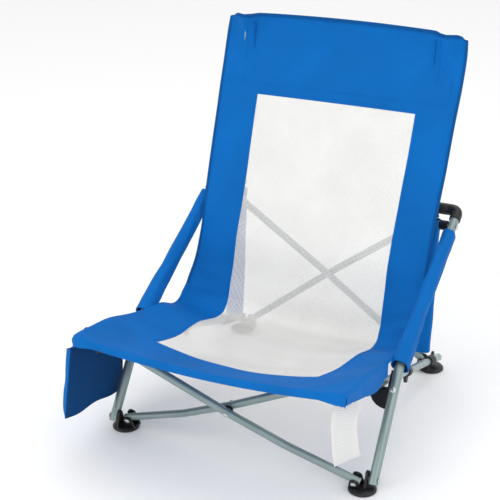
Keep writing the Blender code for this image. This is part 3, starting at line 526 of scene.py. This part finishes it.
SEAT_ROWS = [FRONT_ROW, -0.11, -0.09, -0.07, -0.05, -0.03, -0.012, 0.0, 0.03, 0.06, 0.115]
SEAT_ROWS += steps_between(0.18, MESH_FRONT_T, 10) + steps_between(MESH_FRONT_T, SPLIT_T, 44)[1:]
BACK_ROWS = steps_between(SPLIT_T, MESH_TOP_T, 46) + steps_between(MESH_TOP_T, TOP_T - 0.29, 26)[1:]
BACK_ROWS += [TOP_T - 0.265, TOP_T - 0.2, TOP_T - 0.13, TOP_T - 0.07, TOP_T - 0.03, TOP_T]


def in_mid(i):
    return FIRST_MID <= i < LAST_MID


def seat_mesh_cell(i, j):
    return in_mid(i) and SEAT_ROWS[j] >= MESH_FRONT_T - TINY


def back_mesh_cell(i, j):
    return in_mid(i) and BACK_ROWS[j] < MESH_TOP_T - TINY


def back_hem_cell(i, j):
    """Whether a cell of the back lies in the top hem or in a side hem."""
    kind, value = COLUMNS[i]
    next_kind, other = COLUMNS[i + 1]
    at_side = kind != "mid" and min(value, other if next_kind != "mid" else 0.0) >= SIDE_HEM
    return BACK_ROWS[j] > TOP_T - TOP_HEM or at_side


def make_sling():
    seat = sheet_grid(
        "seat_fabric", SEAT_ROWS, lambda i, j: not seat_mesh_cell(i, j), ["fabric"], hem_thickness)
    seat_net = sheet_grid("seat_net", SEAT_ROWS, seat_mesh_cell, ["mesh"], net_thickness)
    # The back's top and side hem cells get the darker hem colour, which is painted shade.
    back = sheet_grid(
        "back_fabric", BACK_ROWS, lambda i, j: not back_mesh_cell(i, j), ["fabric", "hem"], hem_thickness,
        lambda i, j: 1 if back_hem_cell(i, j) else 0)
    back_net = sheet_grid("back_net", BACK_ROWS, back_mesh_cell, ["mesh"], net_thickness)
    return seat, seat_net, back, back_net


def stitches(name, paths):
    """Rows of small raised stitches along paths of (point, normal)."""
    length, gap, half_w, height = 0.0030, 0.0012, 0.00040, 0.00038
    sides = 6
    verts, faces = [], []
    for path in paths:
        carry = 0.0
        for (p, n), (q, m) in zip(path, path[1:]):
            span = (q - p).length
            if span < TINY:
                continue
            direction = (q - p) / span
            at = carry
            while at + length <= span:
                centre = p + direction * (at + length / 2.0) + n.lerp(m, at / span) * height * 0.4
                across = direction.cross(n).normalized() * half_w
                up = n.normalized() * height
                tip = direction * (length / 2.0)
                base = len(verts)
                for along, share in ((-1.0, 0.35), (-0.6, 1.0), (0.6, 1.0), (1.0, 0.35)):
                    for k in range(sides):
                        angle = math.pi * k / 3.0
                        round_part = across * math.cos(angle) + up * math.sin(angle)
                        verts.append(centre + tip * along + round_part * share)
                for ring in range(3):
                    low = base + ring * sides
                    high = low + sides
                    for k in range(sides):
                        after = (k + 1) % sides
                        faces.append((low + k, low + after, high + after, high + k))
                faces.append(tuple(base + k for k in reversed(range(sides))))
                faces.append(tuple(base + 3 * sides + k for k in range(sides)))
                at += length + gap
            carry = at - span
    return build(name, verts, faces, ["thread"])


def on_sling(a, t, lift):
    """A point just above the cloth, with its normal."""
    normal = sling_normal(a, t)
    return sling_point(a, t) + normal * (wrinkle(a, t) + lift), normal


def line_across(t, a_low, a_high, lift, count=60):
    return [on_sling(a, t, lift) for a in steps_between(a_low, a_high, count)]


def line_along(a_of, t_low, t_high, lift, count=90):
    return [on_sling(a_of(t), t, lift) for t in steps_between(t_low, t_high, count)]


def make_stitching():
    lift = CLOTH_T / 2.0
    hem_lift = lift + HEM_EXTRA / 2.0
    near, far = 0.012, 0.030                # the two rows beside the mesh, as shares of the half width
    seat_lines, back_lines = [], []
    for side in (-1.0, 1.0):
        for off in (near, far):
            seat_lines.append(line_along(
                lambda t: side * (mesh_half(t) + off), MESH_FRONT_T - 0.06, SPLIT_T - 0.02, lift))
        for off in (near, far):
            back_lines.append(line_along(
                lambda t: side * (mesh_half(t) + off), SPLIT_T + 0.02, MESH_TOP_T + 0.05, lift))
        back_lines.append(line_along(lambda t: side * 0.962, SPLIT_T + 0.02, TOP_T - TOP_HEM, hem_lift))
        pocket_a = side * (UPRIGHT_X - 0.014) / BACK_HALF_W
        back_lines.append(line_along(lambda t: pocket_a, MESH_TOP_T + 0.22, TOP_T - 0.30, lift))
    half = mesh_half(MESH_FRONT_T) + near
    seat_lines += [line_across(MESH_FRONT_T - 0.045, -half, half, lift)]
    seat_lines += [line_across(MESH_FRONT_T - 0.085, -half, half, lift)]
    seat_lines += [line_across(0.05, -0.93, 0.93, lift)]
    for t in (MESH_TOP_T + 0.045, MESH_TOP_T + 0.085):
        back_lines += [line_across(t, -MESH_A - near, MESH_A + near, lift)]
    for t in (MESH_TOP_T + 0.20, MESH_TOP_T + 0.24):
        back_lines += [line_across(t, -0.955, 0.955, lift, 90)]
    back_lines += [line_across(TOP_T - 0.25, -0.96, 0.96, hem_lift, 90)]
    return stitches("seat_stitching", seat_lines), stitches("back_stitching", back_lines)


def thick_sheet(name, grid, thick, mats):
    """A grid of points given real thickness along its own normals, as one closed sheet."""
    rows, columns = len(grid), len(grid[0])
    verts, faces, flat_uvs, normals = [], [], [], []
    for j in range(rows):
        for i in range(columns):
            left, right = grid[j][max(i - 1, 0)], grid[j][min(i + 1, columns - 1)]
            below, above = grid[max(j - 1, 0)][i], grid[min(j + 1, rows - 1)][i]
            normals.append((right - left).cross(above - below).normalized())
    v_at = 0.0
    for j in range(rows):
        if j:
            v_at += (grid[j][columns // 2] - grid[j - 1][columns // 2]).length
        u_at = 0.0
        for i in range(columns):
            if i:
                u_at += (grid[j][i] - grid[j][i - 1]).length
            flat_uvs.append((u_at, v_at))
            verts.append(grid[j][i] + normals[j * columns + i] * thick / 2.0)
    verts += [grid[j][i] - normals[j * columns + i] * thick / 2.0 for j in range(rows) for i in range(columns)]
    half = rows * columns
    for j in range(rows - 1):
        for i in range(columns - 1):
            a, b = j * columns + i, j * columns + i + 1
            c, d = b + columns, a + columns
            faces.append((a, b, c, d))
            faces.append((half + d, half + c, half + b, half + a))
    rim = list(range(columns))
    rim += [j * columns + columns - 1 for j in range(1, rows)]
    rim += [(rows - 1) * columns + i for i in range(columns - 2, -1, -1)]
    rim += [j * columns for j in range(rows - 2, 0, -1)]
    for k, first in enumerate(rim):
        second = rim[(k + 1) % len(rim)]
        faces.append((first, half + first, half + second, second))
    return build(name, verts, faces, mats, None, flat_uvs + flat_uvs)


def t_at_height(z):
    """The sling parameter at which the back's edge reaches a height."""
    low, high = 5.0, TOP_T
    for _ in range(24):
        middle = (low + high) / 2.0
        if spline(EDGE_HEIGHTS, middle) < z:
            low = middle
        else:
            high = middle
    return low


def make_post_pockets():
    """The backs of the two pockets in the top corners, in which the posts stand."""
    made = []
    for tag, side in SIDES_LR:
        grid = []
        for j in range(25):
            z = POST_POCKET_LOW + POST_POCKET_H * j / 24.0
            row = []
            for i in range(17):
                angle = math.pi * i / 16.0
                x = UPRIGHT_X + POST_POCKET_R * math.cos(angle)
                t = t_at_height(z)
                panel = sling_point(side * x / spline(HALF_WIDTHS, t), t).y + 0.0012
                back = post_y(z) + LEG_R + 0.0022 + ripple((x, z, side), 0.03, 0.0012, 4.0)
                close = 1.0 - smooth_step(0.86, 1.0, j / 24.0) ** 2 * 0.9
                share = math.sin(angle) ** 0.55 * close
                row.append(Vector((side * x, max(panel + (back - panel) * share, panel), z)))
            grid.append(row if side > 0 else list(reversed(row)))
        made.append(thick_sheet("post_pocket_" + tag, grid, PANEL_T, ["fabric"]))
    return made


def side_frame(direction):
    first = direction.cross(X_AXIS).normalized()
    return first, direction.cross(first).normalized()


def soft_tube(name, path, halves, thick, power, seed):
    """A fabric sleeve: rounded-flat section, open at both ends, with turned hems and small pleats."""
    pleat = 0.0006
    verts, faces, uvs = [], [], []
    sides, count = 48, len(path)
    for layer in (1.0, -1.0):
        along = 0.0
        for i, point in enumerate(path):
            tangent = (path[min(i + 1, count - 1)] - path[max(i - 1, 0)]).normalized()
            wide_axis, deep_axis = side_frame(tangent)
            if i:
                along += (point - path[i - 1]).length
            wide, deep = halves[i]
            hem = 0.0008 if i in (0, 1, count - 2, count - 1) else 0.0
            for k in range(sides):
                angle = 2.0 * math.pi * k / sides
                c, s = math.cos(angle), math.sin(angle)
                w = math.copysign(abs(c) ** (2.0 / power), c)
                d = math.copysign(abs(s) ** (2.0 / power), s)
                fold = pleat * math.sin(angle * 5.0 + 4.0 * noise.noise(Vector((along * 9.0, seed, 0.0))))
                fold += ripple((c * 0.6, s * 0.6, along * 14.0), 0.5, pleat * 1.6, seed)
                inset = (thick + hem) / 2.0 * layer + fold
                verts.append(point + wide_axis * (wide + inset) * w + deep_axis * (deep + inset) * d)
                uvs.append((angle * (wide + deep) / 2.0, along))

    def at(i, k):
        return i * sides + k % sides

    for i in range(count - 1):
        inner = count + i
        for k in range(sides):
            faces.append((at(i, k), at(i, k + 1), at(i + 1, k + 1), at(i + 1, k)))
            faces.append((at(inner, k), at(inner + 1, k), at(inner + 1, k + 1), at(inner, k + 1)))
    last, inner_last = count - 1, 2 * count - 1
    for k in range(sides):
        faces.append((at(0, k + 1), at(0, k), at(count, k), at(count, k + 1)))
        faces.append((at(last, k), at(last, k + 1), at(inner_last, k + 1), at(inner_last, k)))
    obj = build(name, verts, faces, ["fabric"], None, uvs)
    face_outwards(obj)
    return obj


def make_arm_sleeves():
    made = []
    low, high = LEG_BEND + ARM_DIR * 0.005, ELBOW - ARM_DIR * 0.0640
    for tag, side in SIDES_LR:
        shares = [0.0, 0.012, 0.035, 0.05] + steps_between(0.08, 0.92, 30) + [0.95, 0.965, 0.988, 1.0]
        path = [flip(side, low.lerp(high, share)) for share in shares]
        halves = []
        for share in shares:
            wide = 0.0192 - 0.0026 * share + 0.0008 * math.sin(share * 9.0 + side)
            deep = 0.0122 + 0.0036 * (1.0 - smooth_step(0.0, 0.45, share)) + 0.0005 * math.sin(share * 13.0)
            halves.append((wide, deep))
        made.append(soft_tube("arm_cover_" + tag, path, halves, 0.0014, 2.3, 2.0 + side))
    return made


def make_post_sleeves():
    """The flat fabric sleeves that hang round the lower half of the posts."""
    made = []
    for tag, side in SIDES_LR:
        path, halves = [], []
        for share in [0.0, 0.015, 0.035] + steps_between(0.07, 0.93, 22) + [0.965, 0.985, 1.0]:
            z = POST_SLEEVE_LOW + (POST_SLEEVE_TOP - POST_SLEEVE_LOW) * share
            path.append(Vector((side * (UPRIGHT_X + 0.002), post_y(z), z)))
            halves.append((0.0118, 0.0180 + 0.0012 * math.sin(share * 5.0)))
        made.append(soft_tube("post_sleeve_" + tag, path, halves, 0.0013, 2.4, 5.0 + side))
    return made


def pocket_place(u, v, x):
    """A point on the side pocket: u runs from front to rear, v from its bottom to its top."""
    low = POCKET_FRONT_LOW.lerp(POCKET_REAR_LOW, u)
    high = POCKET_FRONT_TOP.lerp(POCKET_REAR_TOP, u)
    point = low.lerp(high, v)
    wave = 0.0026 * math.sin(u * 11.0 + 2.4) * (1.0 - smooth_step(0.0, 0.25, v))
    return Vector((x, point.y, point.z + wave))


def make_pocket():
    """The side pocket: a flat panel next to the leg, and a full outer panel sewn to it on three sides."""
    steps_u, steps_v = 34, 30
    flat, full = [], []
    for j in range(steps_v + 1):
        v = j / steps_v
        flat_row, full_row = [], []
        for i in range(steps_u + 1):
            u = i / steps_u
            crease = ripple((u * 2.0, v * 2.0, 1.0), 0.5, 0.0012, 6.0)
            flat_row.append(pocket_place(u, v, POCKET_X + crease * 0.5))
            edge = min(u, 1.0 - u) * 2.0
            swell = (1.0 - (1.0 - min(edge * 3.2, 1.0)) ** 2) ** 0.5
            rise = (1.0 - (1.0 - min(v * 3.4, 1.0)) ** 2) ** 0.5
            slack = 0.82 + 0.18 * math.sin(u * math.pi)
            pinch = 1.0 - 0.10 * math.exp(-((v - 0.55) / 0.12) ** 2)
            x = POCKET_X - 0.0016 - POCKET_DEPTH * 0.93 * swell * rise * slack * pinch
            sag = v * (0.10 * math.sin(u * math.pi) - 0.30 * math.exp(-((u - 0.48) / 0.17) ** 2))
            full_row.append(pocket_place(u, v * 0.96 - sag, x - crease * swell * rise * 0.8))
        flat.append(flat_row)
        full.append(list(reversed(full_row)))
    # The inner panel is coloured with the painted-shade blue.
    inner = thick_sheet("pocket_inner_panel", flat, PANEL_T, ["painted_shade_blue"])
    outer = thick_sheet("pocket_outer_panel", full, PANEL_T, ["fabric"])
    return inner, outer


def bar_point(y):
    """The side bar's centre line at a given y."""
    return SIDE_PIVOT.lerp(SIDE_REAR_PIN, (y - SIDE_PIVOT.y) / (SIDE_REAR_PIN.y - SIDE_PIVOT.y))


def edge_at(y):
    """The sling's rolled outer edge at a given y of the seat."""
    low, high = 0.0, 3.0
    for _ in range(24):
        middle = (low + high) / 2.0
        if sling_point(1.0, middle).y < y:
            low = middle
        else:
            high = middle
    return sling_point(1.0, low)


def make_skirts():
    """The seat's side hems, which go down over the side bars from their tips to the leg hubs."""
    made = []
    for tag, side in SIDES_LR:
        grid = []
        for j in range(41):
            share = j / 40.0
            y = SKIRT_FRONT + SKIRT_LENGTH * share
            edge, bar = edge_at(y), bar_point(y)
            rear = smooth_step(0.55, 1.0, share)
            low_z = bar.z - SKIRT_REACH + rear * 0.030
            row = [edge + Vector((-0.0012, 0.0, 0.0035)), edge]
            outer_x = max(bar.x + SKIRT_REACH, edge.x) + ripple((y, 1.0, side), 0.03, 0.0008, 3.0)
            for i in range(1, 6):
                row.append(Vector((outer_x, y, edge.z + (max(bar.z, low_z) - edge.z) * i / 5.0)))
            for i in range(1, 7):
                angle = math.radians(17.0 * i) * (1.0 - rear)
                place = bar + Vector((SKIRT_REACH * math.cos(angle), 0.0, -SKIRT_REACH * math.sin(angle)))
                if rear >= 0.02:
                    place = row[6].lerp(place, 1.0 - rear) + Vector((0.0, 0.0, -0.0006 * i))
                row.append(place)
            row = [flip(side, point) for point in row]
            grid.append(row if side > 0 else list(reversed(row)))
        made.append(thick_sheet("seat_side_hem_" + tag, grid, 0.0013, ["fabric"]))
    return made


def make_pocket_flap():
    """The strip that joins the pocket's inner panel to the seat's left side hem."""
    grid = []
    for j in range(25):
        u = j / 24.0
        top = pocket_place(u, 0.985, FLAP_X)
        edge = edge_at(top.y)
        hem_x = max(bar_point(top.y).x + SKIRT_REACH, edge.x) + 0.0012
        hem = Vector((-hem_x, top.y, max(edge.z - 0.004, top.z)))
        row = []
        for i in range(11):
            share = i / 10.0
            point = top.lerp(hem, share)
            point.z -= 0.006 * math.sin(math.pi * share)
            row.append(point)
        grid.append(list(reversed(row)))
    # The flap is coloured with the painted-shade blue.
    return thick_sheet("pocket_flap", grid, 0.0011, ["painted_shade_blue"])


def make_label():
    """A woven label on the seat's right front corner, hanging in a soft S."""
    steps = 30
    grid = []
    for i in range(steps + 1):
        s = i / steps
        middle = LABEL_TOP.lerp(LABEL_LOW, s)
        middle.x -= 0.0045 * math.sin(math.pi * s * 1.3)
        middle.y -= 0.006 * math.sin(math.pi * s) + 0.003 * math.sin(s * 9.0) * s
        row = []
        for k in range(11):
            across = (k / 10.0 - 0.5) * LABEL_W
            curl = 0.0040 * (2.0 * across / LABEL_W) ** 2 * s
            rise = across * (0.16 * math.sin(math.pi * s) + 0.70 * s * s)
            row.append(middle + Vector((across, across * 0.10 - curl, rise)))
        grid.append(row)
    return thick_sheet("hang_label", grid, 0.0005, ["label"])


# ---------------------------------------------------------------- the CAD's own pieces
def smooth_group():
    """A modifier that welds a CAD node's surface and shades its round parts smooth."""
    group = bpy.data.node_groups.new("smooth_round_parts", "GeometryNodeTree")
    group.interface.new_socket("Geometry", in_out="INPUT", socket_type="NodeSocketGeometry")
    group.interface.new_socket("Geometry", in_out="OUTPUT", socket_type="NodeSocketGeometry")
    nodes, links = group.nodes, group.links
    source, target = nodes.new("NodeGroupInput"), nodes.new("NodeGroupOutput")
    weld = nodes.new("GeometryNodeMergeByDistance")
    weld.inputs["Distance"].default_value = 0.00002
    smooth = nodes.new("GeometryNodeSetShadeSmooth")
    smooth.domain = "FACE"
    smooth.inputs["Shade Smooth"].default_value = True
    angle = nodes.new("GeometryNodeInputMeshEdgeAngle")
    compare = nodes.new("FunctionNodeCompare")
    compare.data_type = "FLOAT"
    compare.operation = "GREATER_THAN"
    compare.inputs[1].default_value = math.radians(33.0)
    sharp = nodes.new("GeometryNodeSetShadeSmooth")
    sharp.domain = "EDGE"
    sharp.inputs["Shade Smooth"].default_value = False
    links.new(source.outputs[0], weld.inputs["Geometry"])
    links.new(weld.outputs[0], smooth.inputs["Geometry"])
    links.new(smooth.outputs[0], sharp.inputs["Geometry"])
    links.new(angle.outputs["Unsigned Angle"], compare.inputs[0])
    links.new(compare.outputs[0], sharp.inputs["Selection"])
    links.new(sharp.outputs[0], target.inputs[0])
    return group


def dress_nodes(replaced):
    group = smooth_group()
    slots = {entry["node"]: entry["material_slot"] for entry in frame["record"]["subparts"]}
    for name, obj in frame["nodes"].items():
        if name in replaced:
            continue
        modifier = obj.modifiers.new("smooth", "NODES")
        modifier.node_group = group
        mat = MATERIALS[slots[name]]
        if not obj.material_slots:
            obj.data.materials.append(mat)
        for slot in obj.material_slots:
            slot.material = mat


# ---------------------------------------------------------------- floor, light and camera
def make_stage():
    half, height = 8.0, -0.0004
    verts = [(-half, -half, height), (half, -half, height), (half, half, height), (-half, half, height)]
    mesh = bpy.data.meshes.new("floor")
    mesh.from_pydata(verts, [], [(0, 1, 2, 3)])
    floor = bpy.data.objects.new("floor", mesh)
    mat, shader = new_material("floor_white")
    shader.inputs["Base Color"].default_value = (0.96, 0.96, 0.96, 1.0)
    shader.inputs["Roughness"].default_value = 0.8
    mesh.materials.append(mat)
    bpy.context.scene.collection.objects.link(floor)
    world = bpy.data.worlds.new("soft_world")
    world.use_nodes = True
    background = world.node_tree.nodes["Background"]
    background.inputs["Color"].default_value = (1.0, 1.0, 1.0, 1.0)
    background.inputs["Strength"].default_value = 0.92
    bpy.context.scene.world = world
    bpy.context.scene.view_settings.view_transform = "Standard"
    add_light("key", Vector((-1.3, -2.6, 2.6)), 2.4, 26.0)
    add_light("fill", Vector((2.6, -1.6, 1.7)), 2.6, 16.0)
    add_light("top", Vector((0.2, 0.6, 3.2)), 2.8, 16.0)


def add_light(name, place, size, power):
    light = bpy.data.lights.new(name, "AREA")
    light.shape = "DISK"
    light.size = size
    light.energy = power
    obj = bpy.data.objects.new(name, light)
    obj.location = place
    obj.rotation_euler = (LIGHT_AIM - place).to_track_quat("-Z", "Y").to_euler()
    bpy.context.scene.collection.objects.link(obj)


def make_camera():
    level = math.cos(CAMERA_ELEVATION)
    back = Vector((math.sin(CAMERA_AZIMUTH) * level, -math.cos(CAMERA_AZIMUTH) * level,
                   math.sin(CAMERA_ELEVATION)))
    data = bpy.data.cameras.new("camera")
    data.sensor_width = 36.0
    data.lens = CAMERA_LENS
    camera = bpy.data.objects.new("camera", data)
    camera.location = CAMERA_TARGET + back * CAMERA_DISTANCE
    camera.rotation_euler = (-back).to_track_quat("-Z", "Y").to_euler()
    bpy.context.scene.collection.objects.link(camera)
    bpy.context.scene.camera = camera


# ---------------------------------------------------------------- assembly
seat, seat_net, back, back_net = make_sling()
seat_thread, back_thread = make_stitching()
pockets = make_post_pockets()
arm_covers = make_arm_sleeves()
post_sleeves = make_post_sleeves()
pocket_inner, pocket_outer = make_pocket()
label = make_label()
skirts = make_skirts()
flap = make_pocket_flap()

for piece in (back, back_net, back_thread, *pockets):
    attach(piece, "post_l")
    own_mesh(piece)
for piece in (seat, seat_net, seat_thread):
    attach(piece, "side_l")
    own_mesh(piece)
for piece in (pocket_inner, pocket_outer, flap):
    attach(piece, "side_l")
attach(label, "side_r")
for (tag, _), cover, sleeve, skirt in zip(SIDES_LR, arm_covers, post_sleeves, skirts):
    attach(skirt, "side_" + tag)
    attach(cover, "arm_" + tag)
    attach(sleeve, "post_" + tag)
    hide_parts("arm_sleeve_" + tag)

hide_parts("back_border")
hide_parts("back_mesh")
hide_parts("seat_border")
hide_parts("seat_mesh")
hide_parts("side_pocket")
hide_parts("care_label")

dress_nodes({"back_border", "back_mesh", "seat_border", "seat_mesh", "side_pocket", "care_label",
             "arm_sleeve_l", "arm_sleeve_r"})
make_stage()
make_camera()
